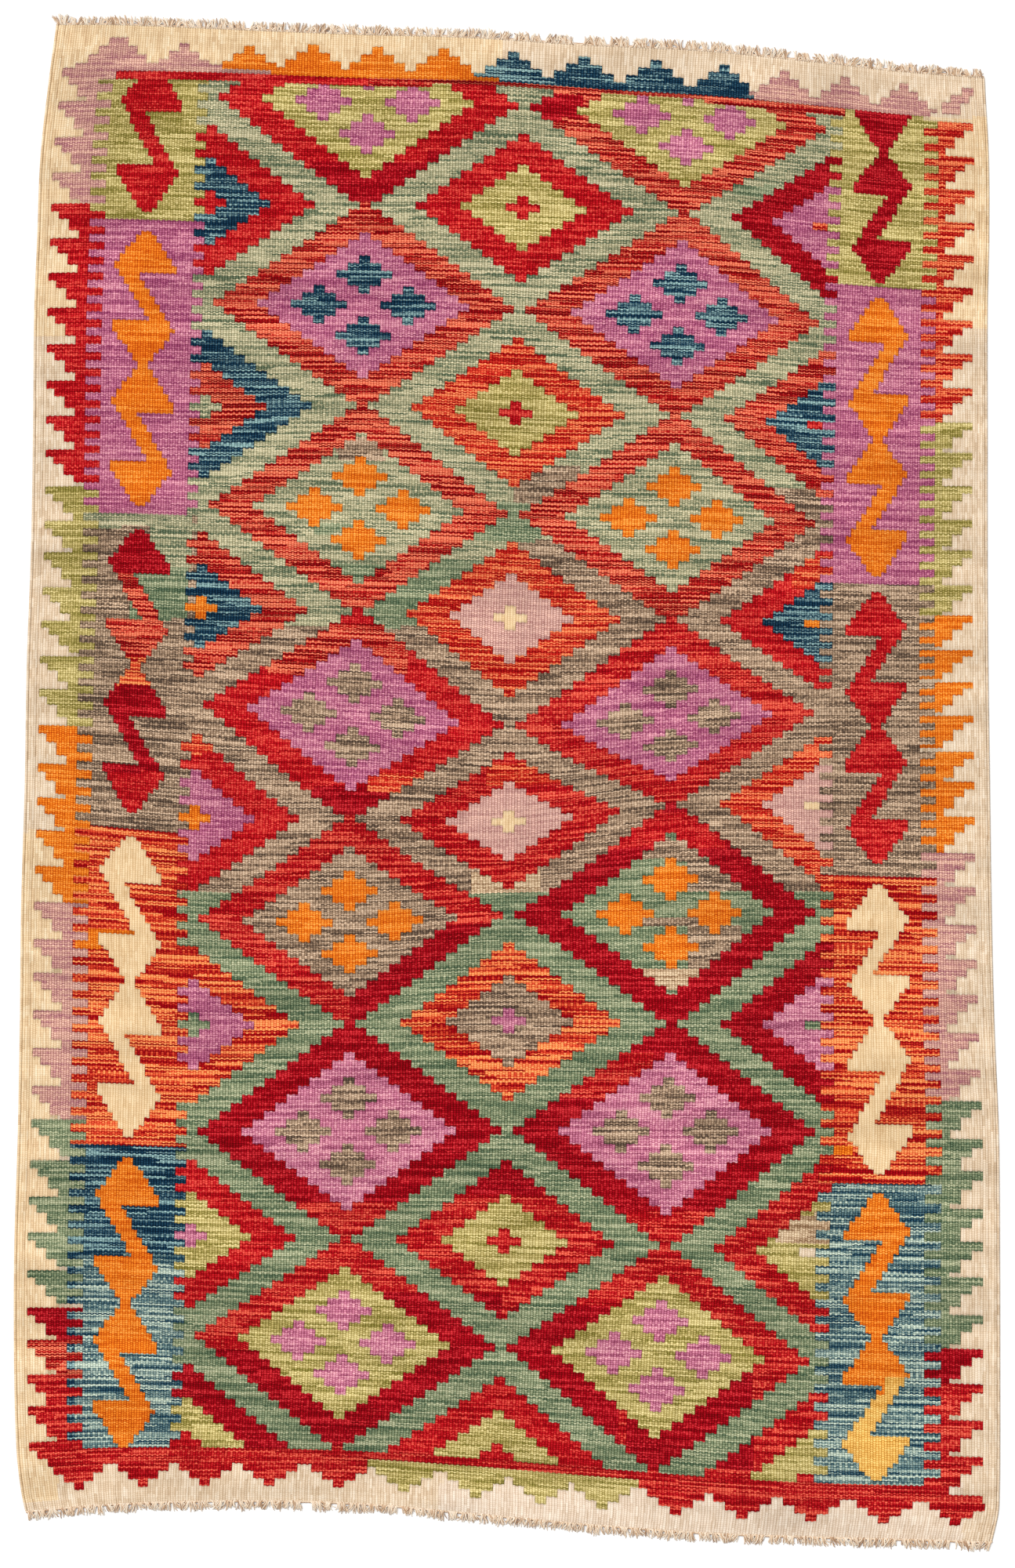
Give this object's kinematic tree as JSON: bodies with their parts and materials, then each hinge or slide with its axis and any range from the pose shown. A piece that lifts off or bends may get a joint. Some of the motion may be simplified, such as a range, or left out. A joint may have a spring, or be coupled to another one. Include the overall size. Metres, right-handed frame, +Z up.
{
  "type": "kilim rug",
  "caption": "Flat-woven wool rug with a stepped diamond field, sawtooth side borders, plain end bands and short knotted fringes.",
  "frame": {"origin": "on the floor, under the middle of the rug's outline, fringes included", "axes": "+Y along the rug's length towards its upper end, +X across it to the right, +Z up out of its face"},
  "size_m": [1.2586, 1.9562, 0.0038],
  "materials": {
    "woven_wool": "matt hand-spun wool in many dye lots, ribbed along the warp, weft streaks of lighter and darker yarn",
    "undyed_warp": "undyed cream and brown warp yarn, twisted, knotted and cut short"
  },
  "bodies": {
    "root": {"woven_cloth": "woven_wool", "top_fringe": "undyed_warp", "bottom_fringe": "undyed_warp"}
  },
  "joints": []
}
